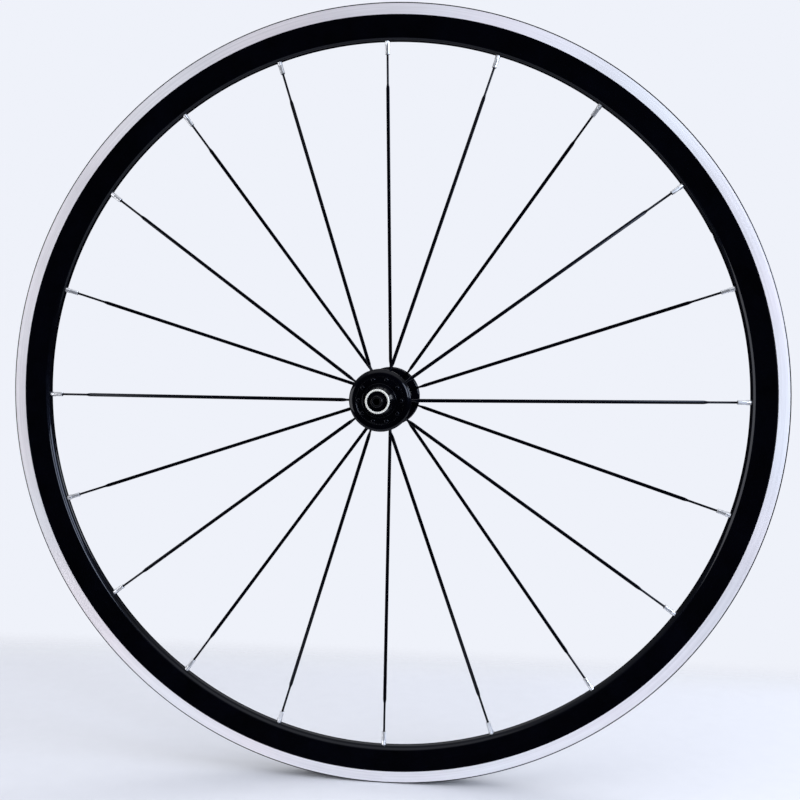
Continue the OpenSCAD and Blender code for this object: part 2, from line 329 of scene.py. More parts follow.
class Graph:
    """A material's node tree, with short calls to add and join nodes."""

    def __init__(self, name: str) -> None:
        """Starts an empty material of that name.

        Args:
            name: the material's name.
        """
        self.material = bpy.data.materials.new(name)
        self.material.use_nodes = True
        self.tree = self.material.node_tree
        self.tree.nodes.clear()

    def add(self, kind: str, **values: object) -> bpy.types.Node:
        """Adds a node; a value whose name is a socket is set or joined there, any other is a setting.

        Args:
            kind: the node's type.
            values: sockets and settings by name, _ for a space.

        Returns:
            The node.
        """
        node = self.tree.nodes.new(kind)
        later = {}
        for key, value in values.items():
            name = key.replace("_", " ")
            if hasattr(node, key) and name not in node.inputs:
                setattr(node, key, value)
            else:
                later[name] = value
        for name, value in later.items():
            self.put(node, name, value)
        return node

    def put(self, node: bpy.types.Node, name: str | int, value: object) -> None:
        """Sets an input socket, or joins another node's output to it.

        Args:
            node: the node.
            name: the input's name or number.
            value: a number, a colour or another node's output.
        """
        if isinstance(value, bpy.types.NodeSocket):
            self.tree.links.new(value, node.inputs[name])
        else:
            node.inputs[name].default_value = value

    def math(self, how: str, a: object, b: object = 0.0, c: object = 0.0) -> bpy.types.NodeSocket:
        """The output of a Math node on up to three values.

        Args:
            how: the operation.
            a: first value.
            b: second value.
            c: third value.

        Returns:
            The result.
        """
        node = self.tree.nodes.new("ShaderNodeMath")
        node.operation = how
        for i, value in enumerate((a, b, c)):
            self.put(node, i, value)
        return node.outputs[0]

    def noise(
        self, at: bpy.types.NodeSocket, scale: float, detail: float = 3.0, rough: float = 0.55
    ) -> bpy.types.NodeSocket:
        """The factor of a noise texture, 0 to 1, at a position in metres."""
        node = self.add("ShaderNodeTexNoise", Vector=at, Scale=scale, Detail=detail, Roughness=rough)
        return node.outputs["Fac"]

    def spread(
        self, value: bpy.types.NodeSocket, low: float, high: float,
        lo_in: float = 0.3, hi_in: float = 0.7,
    ) -> bpy.types.NodeSocket:
        """Maps a value from lo_in..hi_in to low..high, clamped.

        Args:
            value: what is mapped.
            low: result at lo_in.
            high: result at hi_in.
            lo_in: lowest value that counts.
            hi_in: highest value that counts.

        Returns:
            The mapped value.
        """
        node = self.tree.nodes.new("ShaderNodeMapRange")
        for i, v in enumerate((value, lo_in, hi_in, low, high)):
            self.put(node, i, v)
        return node.outputs[0]

    def blend(
        self, share: object, a: tuple[float, ...], b: tuple[float, ...]
    ) -> bpy.types.NodeSocket:
        """A colour between two, by a share from 0 to 1.

        Args:
            share: 0 for the first colour, 1 for the second.
            a: first colour.
            b: second colour.

        Returns:
            The colour.
        """
        node = self.tree.nodes.new("ShaderNodeMix")
        node.data_type = "RGBA"
        self.put(node, 0, share)
        self.put(node, 6, (*a, 1.0))
        self.put(node, 7, (*b, 1.0))
        return node.outputs[2]

    def place(self) -> bpy.types.NodeSocket:
        """The point on the piece, in metres, in its own coordinates."""
        return self.tree.nodes.new("ShaderNodeTexCoord").outputs["Object"]

    def polar(self, at: bpy.types.NodeSocket) -> tuple[bpy.types.NodeSocket, ...]:
        """Distance from the axle's line, angle round it in radians, and distance along it.

        Args:
            at: a point, in metres.

        Returns:
            Radius, angle and distance along the axle.
        """
        split = self.add("ShaderNodeSeparateXYZ", Vector=at)
        x, y, z = split.outputs
        square = self.math("ADD", self.math("MULTIPLY", x, x), self.math("MULTIPLY", z, z))
        radius = self.math("SQRT", square)
        return radius, self.math("ARCTAN2", x, z), y

    def bump(
        self, height: bpy.types.NodeSocket, strength: float, distance: float
    ) -> bpy.types.NodeSocket:
        """A bumped normal from a height, with the depth in metres."""
        node = self.add("ShaderNodeBump", Height=height, Strength=strength, Distance=distance)
        return node.outputs[0]

    def finish(self, **sockets: object) -> bpy.types.Material:
        """Adds the surface shader with these sockets and joins it to the output.

        Args:
            sockets: the shader's inputs by name, _ for a space.

        Returns:
            The material.
        """
        shader = self.tree.nodes.new("ShaderNodeBsdfPrincipled")
        for key, value in sockets.items():
            self.put(shader, key.replace("_", " "), value)
        output = self.tree.nodes.new("ShaderNodeOutputMaterial")
        self.tree.links.new(shader.outputs[0], output.inputs[0])
        return self.material


@dataclass(frozen=True)
class GlossBlack:
    """Black anodising or paint under clear lacquer, with a slight unevenness and fine dust."""

    name: str
    # The blue cast of base and light is a painted bluish reflection; the cloud noise between them is
    # random unevenness.
    base: tuple[float, float, float] = (0.0004, 0.0004, 0.0008)
    light: tuple[float, float, float] = (0.0008, 0.0009, 0.0022)
    roughness: tuple[float, float] = (0.16, 0.26)
    coat: float = 0.4
    coat_roughness: float = 0.045
    grain: float = 700.0
    specular: float = 0.08
    # Painted bluish sheen: this specular tint turns every reflection on the black blue.
    tint: tuple[float, float, float] = (0.55, 0.65, 1.0)

    def made(self) -> bpy.types.Material:
        """Builds the material.

        Returns:
            The material.
        """
        g = Graph(self.name)
        at = g.place()
        cloud = g.noise(at, 35.0, 4.0)
        peel = g.noise(at, self.grain, 2.0)
        return g.finish(
            # Blue-cast colours: a painted bluish reflection under a random unevenness.
            Base_Color=g.blend(g.spread(cloud, 0.0, 1.0), self.base, self.light),
            Roughness=g.spread(g.noise(at, 160.0, 5.0), *self.roughness),
            Coat_Weight=self.coat,
            Coat_Roughness=self.coat_roughness,
            Coat_IOR=1.45,
            Specular_IOR_Level=self.specular,
            # Blue specular tint: a painted bluish sheen on the highlights.
            Specular_Tint=(*self.tint, 1.0),
            Normal=g.bump(peel, 0.012, 0.00001),
        )


@dataclass(frozen=True)
class MachinedTrack:
    """Bare aluminium turned with a fine circumferential line, its shine changing in patches, with pastel
    patches of painted iridescent sheen.

    The drift is how far, in metres per radian, the line's noise wanders on the way round.
    """

    name: str
    dark: tuple[float, float, float] = (0.63, 0.615, 0.62)
    light: tuple[float, float, float] = (0.80, 0.78, 0.785)
    roughness: tuple[float, float] = (0.30, 0.42)
    # Pastel colours of a painted iridescent sheen, mixed over the turned colour in random patches.
    painted_iridescence: tuple[tuple[float, float, float], ...] = ((0.96, 0.98, 1.0), (1.0, 0.96, 0.98))
    line: float = 5200.0
    drift: float = 0.0016
    metallic: float = 0.45

    def made(self) -> bpy.types.Material:
        """Builds the material: the lines are a noise that depends on the distance from the axle.

        Returns:
            The material.
        """
        g = Graph(self.name)
        at = g.place()
        radius, angle, y = g.polar(at)
        drift = g.math("MULTIPLY", angle, self.drift)
        ring = g.add("ShaderNodeCombineXYZ", X=radius, Y=drift, Z=y)
        lines = g.noise(ring.outputs[0], self.line, 2.0, 0.6)
        broad = g.noise(ring.outputs[0], 900.0, 2.0, 0.5)
        patch = g.noise(at, 9.0, 2.0)
        shade_of = g.math("ADD", g.math("MULTIPLY", lines, 0.55), g.math("MULTIPLY", broad, 0.45))
        turned_colour = g.blend(g.spread(shade_of, 0.0, 1.0, 0.33, 0.67), self.dark, self.light)
        # Painted iridescent sheen: pastel tints blended in by noise and multiplied into the colour.
        painted_iridescence = g.blend(g.spread(g.noise(at, 7.0, 1.0), 0.0, 1.0, 0.35, 0.65), *self.painted_iridescence)
        colour = g.add("ShaderNodeVectorMath", operation="MULTIPLY")
        g.put(colour, 0, turned_colour)
        g.put(colour, 1, painted_iridescence)
        return g.finish(
            Base_Color=colour.outputs[0],
            Metallic=self.metallic,
            Roughness=g.spread(patch, *self.roughness),
            Anisotropic=0.6,
            Tangent=g.add("ShaderNodeTangent", direction_type="RADIAL", axis="Y").outputs[0],
            Normal=g.bump(shade_of, 0.22, 0.00003),
        )


@dataclass(frozen=True)
class BrightMetal:
    """Polished or plated metal with fine handling marks."""

    name: str
    dark: tuple[float, float, float]
    light: tuple[float, float, float]
    roughness: tuple[float, float] = (0.16, 0.3)
    scale: float = 700.0
    relief: float = 0.08
    metallic: float = 1.0

    def made(self) -> bpy.types.Material:
        """Builds the material.

        Returns:
            The material.
        """
        g = Graph(self.name)
        at = g.place()
        marks = g.noise(at, self.scale, 4.0, 0.6)
        return g.finish(
            Base_Color=g.blend(g.spread(marks, 0.0, 1.0), self.dark, self.light),
            Metallic=self.metallic,
            Roughness=g.spread(g.noise(at, self.scale * 0.4, 3.0), *self.roughness),
            Normal=g.bump(marks, self.relief, 0.00003),
        )


@dataclass(frozen=True)
class SatinBlack:
    """Dyed anodising without lacquer: soft sheen, fine grain and turning lines along the axle."""

    name: str
    base: tuple[float, float, float] = (0.0012, 0.0012, 0.0018)
    light: tuple[float, float, float] = (0.0030, 0.0030, 0.0042)
    roughness: tuple[float, float] = (0.26, 0.38)

    def made(self) -> bpy.types.Material:
        """Builds the material: turning lines are a noise of the distances from and along the axle.

        Returns:
            The material.
        """
        g = Graph(self.name)
        at = g.place()
        radius, _, y = g.polar(at)
        lathe = g.add("ShaderNodeCombineXYZ", X=radius, Y=y)
        lines = g.noise(lathe.outputs[0], 3800.0, 2.0)
        return g.finish(
            Base_Color=g.blend(g.spread(g.noise(at, 300.0, 4.0), 0.0, 1.0), self.base, self.light),
            Roughness=g.spread(g.noise(at, 500.0, 3.0), *self.roughness),
            Specular_IOR_Level=0.12,
            Coat_Weight=0.25,
            Coat_Roughness=0.08,
            Normal=g.bump(lines, 0.10, 0.00002),
        )


@dataclass(frozen=True)
class WovenTape:
    """Polyester band: threads along and across it, from the angle and the distance along the axle."""

    name: str
    dark: tuple[float, float, float] = (0.035, 0.037, 0.042)
    light: tuple[float, float, float] = (0.13, 0.135, 0.145)
    thread: float = 0.00045
    radius: float = 0.307

    def made(self) -> bpy.types.Material:
        """Builds the material: each thread is a sine hump, over and under by turns.

        Returns:
            The material.
        """
        g = Graph(self.name)
        at = g.place()
        _, angle, y = g.polar(at)
        along = g.math("MULTIPLY", g.math("MULTIPLY", angle, self.radius), math.pi / self.thread)
        across = g.math("MULTIPLY", y, math.pi / self.thread)
        weft = g.math("MULTIPLY", g.math("SINE", along), g.math("COSINE", across))
        hump = g.math("ABSOLUTE", weft)
        fibre = g.noise(at, 4000.0, 3.0)
        height = g.math("ADD", hump, g.math("MULTIPLY", fibre, 0.4))
        return g.finish(
            Base_Color=g.blend(g.spread(height, 0.0, 1.0, 0.1, 1.3), self.dark, self.light),
            Roughness=g.spread(fibre, 0.62, 0.85),
            Sheen_Weight=0.25,
            Sheen_Roughness=0.5,
            Normal=g.bump(height, 0.5, 0.00012),
        )


@dataclass(frozen=True)
class Moulded:
    """Plastic or rubber with a fine matt mould grain."""

    name: str
    dark: tuple[float, float, float]
    light: tuple[float, float, float]
    roughness: tuple[float, float] = (0.45, 0.62)

    def made(self) -> bpy.types.Material:
        """Builds the material.

        Returns:
            The material.
        """
        g = Graph(self.name)
        at = g.place()
        grain = g.noise(at, 3000.0, 3.0)
        return g.finish(
            Base_Color=g.blend(g.spread(g.noise(at, 220.0, 4.0), 0.0, 1.0), self.dark, self.light),
            Roughness=g.spread(grain, *self.roughness),
            Normal=g.bump(grain, 0.15, 0.00004),
        )


class Paint(Enum):
    """Every finish on the wheel, by the word that its material is named with."""

    RIM = GlossBlack("rim_gloss_black")
    TRACK = MachinedTrack("machined_brake_track")
    CHANNEL = SatinBlack("bead_channel_black", (0.004, 0.004, 0.005), (0.010, 0.010, 0.012))
    TAPE = WovenTape("woven_rim_tape")
    SPOKE = GlossBlack(
        "spoke_gloss_black", roughness=(0.18, 0.26), coat=0.22, coat_roughness=0.12, grain=900.0
    )
    NIPPLE = BrightMetal("nipple_silver", (0.46, 0.47, 0.49), (0.70, 0.71, 0.73), (0.2, 0.34))
    HUB = GlossBlack(
        "hub_gloss_black", roughness=(0.16, 0.24), coat=0.4, coat_roughness=0.05,
        grain=900.0, specular=0.04,
    )
    CAP = GlossBlack(
        "cap_gloss_black", roughness=(0.16, 0.24), coat=0.2, coat_roughness=0.07,
        grain=900.0, specular=0.04,
    )
    AXLE = SatinBlack("axle_satin_black")
    CONTACT = BrightMetal(
        "contact_bright_steel", (0.78, 0.77, 0.70), (0.88, 0.87, 0.80), (0.30, 0.42), 1500.0, 0.06, 0.35
    )
    RACE = BrightMetal(
        "race_ground_steel", (0.42, 0.43, 0.45), (0.58, 0.59, 0.61), (0.2, 0.3), 1800.0, 0.1
    )
    BALL = BrightMetal(
        "ball_polished_steel", (0.62, 0.63, 0.65), (0.7, 0.71, 0.73), (0.04, 0.08), 900.0, 0.02
    )
    CAGE = Moulded("cage_polyamide", (0.20, 0.11, 0.05), (0.33, 0.19, 0.09), (0.4, 0.55))
    SEAL = Moulded("seal_rubber", (0.010, 0.010, 0.012), (0.022, 0.022, 0.025), (0.5, 0.7))

    def material(self) -> bpy.types.Material:
        """The material, built on first use."""
        return bpy.data.materials.get(self.value.name) or self.value.made()


def coat(obj: bpy.types.Object, *paints: Paint) -> None:
    """Gives a piece these finishes, in order, as its material slots.

    Args:
        obj: the piece.
        paints: its finishes, one to a slot.
    """
    obj.data.materials.clear()
    for paint in paints:
        obj.data.materials.append(paint.material())


# ------------------------------------------------------------------ the wheel's layout


@dataclass(frozen=True)
class Lacing:
    """Where the spokes lie: straight lines from the axle to the rim's nose, by turns right and left.

    The rise is how far from the middle a line meets the axle, and hole_r the circle of spoke holes.
    """

    count: int = 20
    rise: float = 34.0
    nose_r: float = 288.0
    hole_r: float = 17.0

    @property
    def tilt(self) -> float:
        """Angle between a spoke and the wheel's plane, in radians."""
        return math.atan(self.rise / self.nose_r)

    @property
    def nose_s(self) -> float:
        """Distance along a spoke line from the axis to the rim's nose."""
        return self.nose_r / math.cos(self.tilt)

    @property
    def hole_s(self) -> float:
        """Distance along a spoke line from the axis to the circle of holes."""
        return self.hole_r / math.cos(self.tilt)

    @property
    def hole_y(self) -> float:
        """Where along the axle a spoke line crosses the circle of holes."""
        return self.rise * (1 - self.hole_r / self.nose_r)

    def angle(self, k: float) -> float:
        """The angle of a place counted in spoke steps from the top, in radians."""
        return 2 * math.pi * k / self.count

    def side(self, k: int) -> Side:
        """Even spokes go to the right flange, odd ones to the left."""
        return Side.RIGHT if k % 2 == 0 else Side.LEFT

    def sector(self, k: float, side: Side = Side.RIGHT) -> Array:
        """Matrix from (across the plane of the spoke, y, radius) to the wheel's frame at a place.

        Args:
            k: the place, in spoke steps.
            side: the side; the left one is mirrored.

        Returns:
            The matrix.
        """
        a = self.angle(k)
        c, s = math.cos(a), math.sin(a)
        return np.array([[c, 0, s], [0, side.value, 0], [-s, 0, c]])

    def line(self, k: int) -> tuple[Array, Array]:
        """Stands a shape drawn along +Z, from the axle outwards, on a spoke line.

        Args:
            k: the spoke's number.

        Returns:
            Matrix and offset that move the shape.
        """
        c, s = math.cos(self.tilt), math.sin(self.tilt)
        lean = np.array([[1, 0, 0], [0, c, -s], [0, s, c]])
        sector = self.sector(k, self.side(k))
        return sector @ lean, sector @ np.array([0.0, self.rise, 0.0])

    def hole(self, k: int) -> tuple[Array, Array]:
        """Stands a shape drawn along +Z on a spoke hole's axis, out of the flange.

        Args:
            k: the spoke's number.

        Returns:
            Matrix and offset that move the shape.
        """
        lay = np.array([[1.0, 0, 0], [0, 0, 1.0], [0, -1.0, 0]])
        sector = self.sector(k, self.side(k))
        return sector @ lay, sector @ np.array([0.0, 0.0, self.hole_r])


LACING = Lacing()


@dataclass
class Rim:
    """Hollow clincher rim with machined brake tracks, and the tape over its bed."""

    lacing: Lacing
    edge_r: float = 316.5
    half_width: float = 10.4
    track_r: float = 307.0
    lip: float = 0.6
    track_step: float = 0.35
    nose_r: float = 288.0
    nose_round: float = 5.6
    shelf_r: float = 311.0
    shelf_half: float = 9.0
    hook_half: float = 7.9
    hook_r: float = 314.3
    well_r: float = 306.5
    well_half: float = 4.6
    valve_place: float = 3.5
    valve_d: float = 6.5
    access_d: float = 8.0
    neck_r: float = 2.15
    tape_t: float = 0.7
    hollow_r: float = 290.6
    hollow_half: float = 3.6
    segments: int = 720

    def outline(self) -> Array:
        """The section's outer loop: nose, painted wall, track, rounded lip, hook, bead seat and well.

        Returns:
            Rows of (radius, y).
        """
        half = np.vstack([
            oval((self.nose_r + self.nose_round, 0), (self.nose_round,) * 2, (180, 107.2), 16)[1:],
            corner_rows([
                (self.track_r - self.lip, self.half_width - self.track_step, 0.15),
                (self.track_r, self.half_width, 0.12),
                (self.edge_r - 0.95, self.half_width, 0.0),
                (self.edge_r, self.half_width, self.lip),
                (self.edge_r, self.hook_half, 0.5),
                (self.hook_r, self.hook_half, 0.35),
                (self.hook_r - 0.9, self.shelf_half, 0.4),
                (self.shelf_r, self.shelf_half, 0.5),
                (self.shelf_r, self.well_half + 1.6, 0.5),
                (self.well_r, self.well_half, 0.8),
            ]),
        ])
        return softened(mirrored_outline(half), 6)

    def cavity(self) -> Array:
        """The loop of the hollow between the nose, the walls and the bed.

        Returns:
            Rows of (radius, y).
        """
        half = corner_rows([
            (self.hollow_r, self.hollow_half, 0.8),
            (self.track_r - 1.5, self.half_width - 1.9, 0.6),
            (self.shelf_r - 2.4, self.half_width - 2.0, 0.4),
            (self.shelf_r - 2.4, self.well_half + 1.2, 0.3),
            (self.well_r - 1.5, self.well_half - 0.4, 0.3),
        ])
        return softened(mirrored_outline(half), 3)

    def hole_cutters(self) -> Surface:
        """Nipple holes along the spoke lines, access holes in the bed and the valve hole.

        Returns:
            All the cutters as one surface; none of them touch.
        """
        nose = self.lacing.nose_s
        neck, access_r, valve_r = self.neck_r, self.access_d / 2, self.valve_d / 2
        way = pin(np.array([
            (0, nose - 4), (neck + 0.55, nose - 4), (neck + 0.55, nose - 0.35), (neck, nose + 0.25),
            (neck, nose + 1.52), (3.0, nose + 3), (0, nose + 3),
        ], float), 40)
        access = pin(np.array([(0, 0), (access_r, 0), (access_r, 12), (0, 12)], float), 40)
        valve = pin(np.array([
            (0, 0), (valve_r + 0.5, 0), (valve_r + 0.5, 2.5), (valve_r, 3.6), (valve_r, 30), (0, 30),
        ], float), 56)
        parts = [way.moved(*self.lacing.line(k)) for k in range(self.lacing.count)]
        for k in range(self.lacing.count):
            sector = self.lacing.sector(k)
            parts.append(access.moved(sector, sector @ np.array([0, 0, self.well_r - 4])))
        sector = self.lacing.sector(self.valve_place)
        parts.append(valve.moved(sector, sector @ np.array([0, 0, self.lacing.nose_r - 3])))
        return joined(parts)

    def build(self) -> bpy.types.Object:
        """Turns both loops, drills the holes and parts the faces into track, channel and black wall.

        Returns:
            The piece.
        """
        skin = turned(self.outline(), self.segments)
        rim = written("rim_skin", joined([skin, turned(self.cavity(), self.segments // 2, hollow=True)]))
        cut(rim, [self.hole_cutters()])
        coat(rim, Paint.RIM, Paint.TRACK, Paint.CHANNEL)
        self.part_faces(rim.data)
        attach(rim, "wheel")
        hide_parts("rim")
        return rim

    def part_faces(self, mesh: bpy.types.Mesh) -> None:
        """Sets each face's finish: flat side faces by the edge are track, inside the bed is channel.

        A face's place is its centre's distance from the axle and from the wheel's middle plane.

        Args:
            mesh: the rim's mesh, with its three finishes.
        """
        centre = np.empty(len(mesh.polygons) * 3, np.float32)
        mesh.polygons.foreach_get("center", centre)
        x, y, z = centre.reshape(-1, 3).T / MM
        radius, across = np.hypot(x, z), np.abs(y)
        track = (
            (across > self.half_width - 0.04)
            & (radius > self.track_r - 0.05)
            & (radius < self.edge_r - 0.9)
        )
        channel = (
            (radius > self.well_r - 0.6)
            & (across < self.shelf_half + 0.1)
            & (radius < self.edge_r - 0.6)
        )
        index = np.where(track, 1, np.where(channel, 2, 0))
        mesh.polygons.foreach_set("material_index", index.astype(np.int32))

    def build_tape(self) -> bpy.types.Object:
        """The band on the floor of the well, with its edges rounded and a hole for the valve.

        Returns:
            The piece.
        """
        r, w = self.well_r, self.well_half - 0.1
        top, hole_r = r + self.tape_t, self.valve_d / 2 + 0.4
        band = softened(corner_rows([(r, -w, 0.1), (r, w, 0.1), (top, w, 0.25), (top, -w, 0.25)]), 4)
        tape = written("rim_tape_band", turned(band, self.segments))
        hole = pin(np.array([(0, 0), (hole_r, 0), (hole_r, 6), (0, 6)], float), 56)
        sector = self.lacing.sector(self.valve_place)
        cut(tape, [hole.moved(sector, sector @ np.array([0, 0, r - 2]))])
        coat(tape, Paint.TAPE)
        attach(tape, "wheel")
        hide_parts("rim_tape")
        return tape


@dataclass
class SpokeSet:
    """Twenty J-bend spokes: domed head, bend, round wire, flat blade, round wire and thread."""

    lacing: Lacing
    wire_r: float = 0.9
    blade_half: float = 1.425
    blade_thin: float = 0.575
    bend_r: float = 1.6
    head_r: float = 1.7
    head_h: float = 1.1
    head_y: float = 35.19
    blade_in: tuple[float, float] = (26.2, 31.2)
    blade_out: tuple[float, float] = (36.8, 32.3)
    thread_r: float = 0.98
    section_points: int = 28

    def centre_line(self) -> tuple[Array, Array, Array, Array, Array]:
        """The centre line in the spoke's own plane and the section on it.

        The line runs down the hole's axis, round an arc and up the spoke line. The section is a round
        of the half thickness b, pulled apart by c on each side, so c = 0 is round wire.

        Returns:
            y, radius, heading, b and c, the heading being the angle from -Y towards the rim.
        """
        turn = math.pi / 2 - self.lacing.tilt
        reach = self.bend_r * math.tan(turn / 2)
        top = self.head_y + self.head_h
        dome = np.radians(np.linspace(8, 90, 7))
        head_y = np.concatenate([
            top - self.head_h * 0.55 * (1 - np.cos(dome)),
            [top - self.head_h * 0.8, top - self.head_h * 0.97, self.head_y],
        ])
        head_b = np.concatenate([
            self.head_r * np.sin(dome),
            [self.head_r, self.head_r * 0.95, self.wire_r],
        ])
        bend_start = self.lacing.hole_y + reach
        shank_y = np.linspace(self.head_y - 0.25, bend_start, 4)
        h = np.linspace(0, turn, 12)[1:]
        bend_y = bend_start - self.bend_r * np.sin(h)
        bend_radius = self.lacing.hole_r + self.bend_r * (1 - np.cos(h))
        nose = self.lacing.nose_s
        far = self.lacing.hole_s + reach
        in_start, in_end = self.blade_in
        out_start, out_end = nose - self.blade_out[0], nose - self.blade_out[1]
        s = np.concatenate([
            np.linspace(far, in_start, 6)[1:],
            np.linspace(in_start, in_end, 9)[1:],
            np.linspace(in_end, out_start, 26)[1:],
            np.linspace(out_start, out_end, 9)[1:],
            [nose - 20, nose - 9.2, nose - 9.0, nose + 3.3, nose + 3.45],
        ])
        flat = smoothstep(in_start, in_end, s) * (1 - smoothstep(out_start, out_end, s))
        b = self.wire_r + (self.blade_thin - self.wire_r) * flat
        b = np.where(s > nose - 9.1, self.thread_r, b)
        b[-1] = self.thread_r * 0.8
        c = (self.blade_half - self.blade_thin) * flat
        c_, s_ = math.cos(self.lacing.tilt), math.sin(self.lacing.tilt)
        y = np.concatenate([head_y, shank_y, bend_y, self.lacing.rise - s * s_])
        in_hole = len(head_y) + len(shank_y)
        radius = np.concatenate([np.full(in_hole, self.lacing.hole_r), bend_radius, s * c_])
        heading = np.concatenate([np.zeros(in_hole), h, np.full(len(s), turn)])
        wire = np.full(len(shank_y) + len(bend_y), self.wire_r)
        b_all = np.concatenate([head_b, wire, b])
        return y, radius, heading, b_all, np.concatenate([0 * head_b, 0 * wire, c])

    def surface(self) -> Surface:
        """The spoke in its own plane: (across, y, radius), the section's ring set square to the line.

        A ring's point at the angle a lies c sign(cos a) + b cos a across the plane, and b sin a along
        the line's normal, which is (cos heading) radius + (sin heading) y.

        Returns:
            The closed surface.
        """
        y, radius, heading, b, c = (v[:, None] for v in self.centre_line())
        a = (np.arange(self.section_points) + 0.5)[None, :] * 2 * np.pi / self.section_points
        across = c * np.sign(np.cos(a)) + b * np.cos(a)
        up = b * np.sin(a)
        rings = np.stack([across, y + up * np.sin(heading), radius + up * np.cos(heading)], axis=-1)
        start = np.array([0.0, y[0, 0] + 0.002, radius[0, 0]])
        end_dir = np.array([0.0, -math.sin(self.lacing.tilt), math.cos(self.lacing.tilt)])
        end = np.array([0.0, y[-1, 0], radius[-1, 0]]) + 0.02 * end_dir
        return closed_tube(rings, start, end)

    def build(self) -> list[bpy.types.Object]:
        """Makes each spoke as its own piece, turned to its place and mirrored to its side.

        Returns:
            The twenty pieces.
        """
        shape, out = self.surface(), []
        for k in range(self.lacing.count):
            sector = self.lacing.sector(k, self.lacing.side(k))
            spoke = written(f"bladed_spoke_{k + 1:02d}", shape.moved(sector, np.zeros(3)))
            coat(spoke, Paint.SPOKE)
            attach(spoke, "wheel")
            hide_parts(f"spoke_{k + 1:02d}")
            out.append(spoke)
        return out


@dataclass
class NippleSet:
    """Square-flatted nipples with a round neck and a conical head inside the rim."""

    lacing: Lacing
    flat_half: float = 1.7
    corner_r: float = 2.0
    neck_r: float = 2.0
    head_r: float = 3.0
    bore_r: float = 1.0
    shown: float = 10.0
    flat_length: float = 7.1
    points: int = 64

    def surface(self) -> Surface:
        """A loop up the outside and down the bore, turned about the spoke line.

        The outside radius at the angle a is the smaller of the corner's radius and the flat's distance
        over the larger of |cos a| and |sin a|, blended to a plain round where the flats end.

        Returns:
            One nipple, standing on +Z.
        """
        nose = self.lacing.nose_s
        low, flats_end = nose - self.shown, nose - self.shown + self.flat_length
        bore, neck, head = self.bore_r, self.neck_r, self.head_r
        rows = np.array([  # radius when round, height, share of the square
            (bore + 0.12, low, 0.0), (1.35, low, 0.0), (1.72, low + 0.12, 0.7), (neck, low + 0.42, 1.0),
            (neck, flats_end - 0.35, 1.0), (neck, flats_end - 0.1, 0.75), (neck, flats_end + 0.08, 0.0),
            (neck, nose + 0.9, 0.0), (neck, nose + 1.4, 0.0), (head - 0.04, nose + 2.95, 0.0),
            (head, nose + 3.1, 0.0), (head, nose + 5.0, 0.0), (head - 0.3, nose + 5.4, 0.0),
            (1.4, nose + 5.4, 0.0), (bore + 0.1, nose + 5.3, 0.0), (bore, nose + 5.1, 0.0),
            (bore, nose - 3.0, 0.0), (bore, low + 0.15, 0.0),
        ])
        a = (np.arange(self.points) * 2 * np.pi / self.points)[None, :]
        square = self.flat_half / np.maximum(np.abs(np.cos(a)), np.abs(np.sin(a)))
        r, h, share = (rows[:, i][:, None] for i in range(3))
        square = np.minimum(square * np.minimum(r / self.corner_r, 1.0) ** 0.5, r)
        ring = r + (square - r) * share
        verts = np.stack([ring * np.cos(a), ring * np.sin(a), h + 0 * a], axis=-1)
        return Surface(verts.reshape(-1, 3), [quads(len(rows), self.points, True, True)])

    def build(self) -> list[bpy.types.Object]:
        """One piece for each side's ten nipples.

        Returns:
            The two pieces.
        """
        shape, out = self.surface(), []
        for side in Side:
            places = [k for k in range(self.lacing.count) if self.lacing.side(k) is side]
            mine = [shape.moved(*self.lacing.line(k)) for k in places]
            piece = written(f"square_nipples_{side.word}", joined(mine))
            coat(piece, Paint.NIPPLE)
            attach(piece, "wheel")
            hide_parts(f"nipples_{side.word}")
            out.append(piece)
        return out


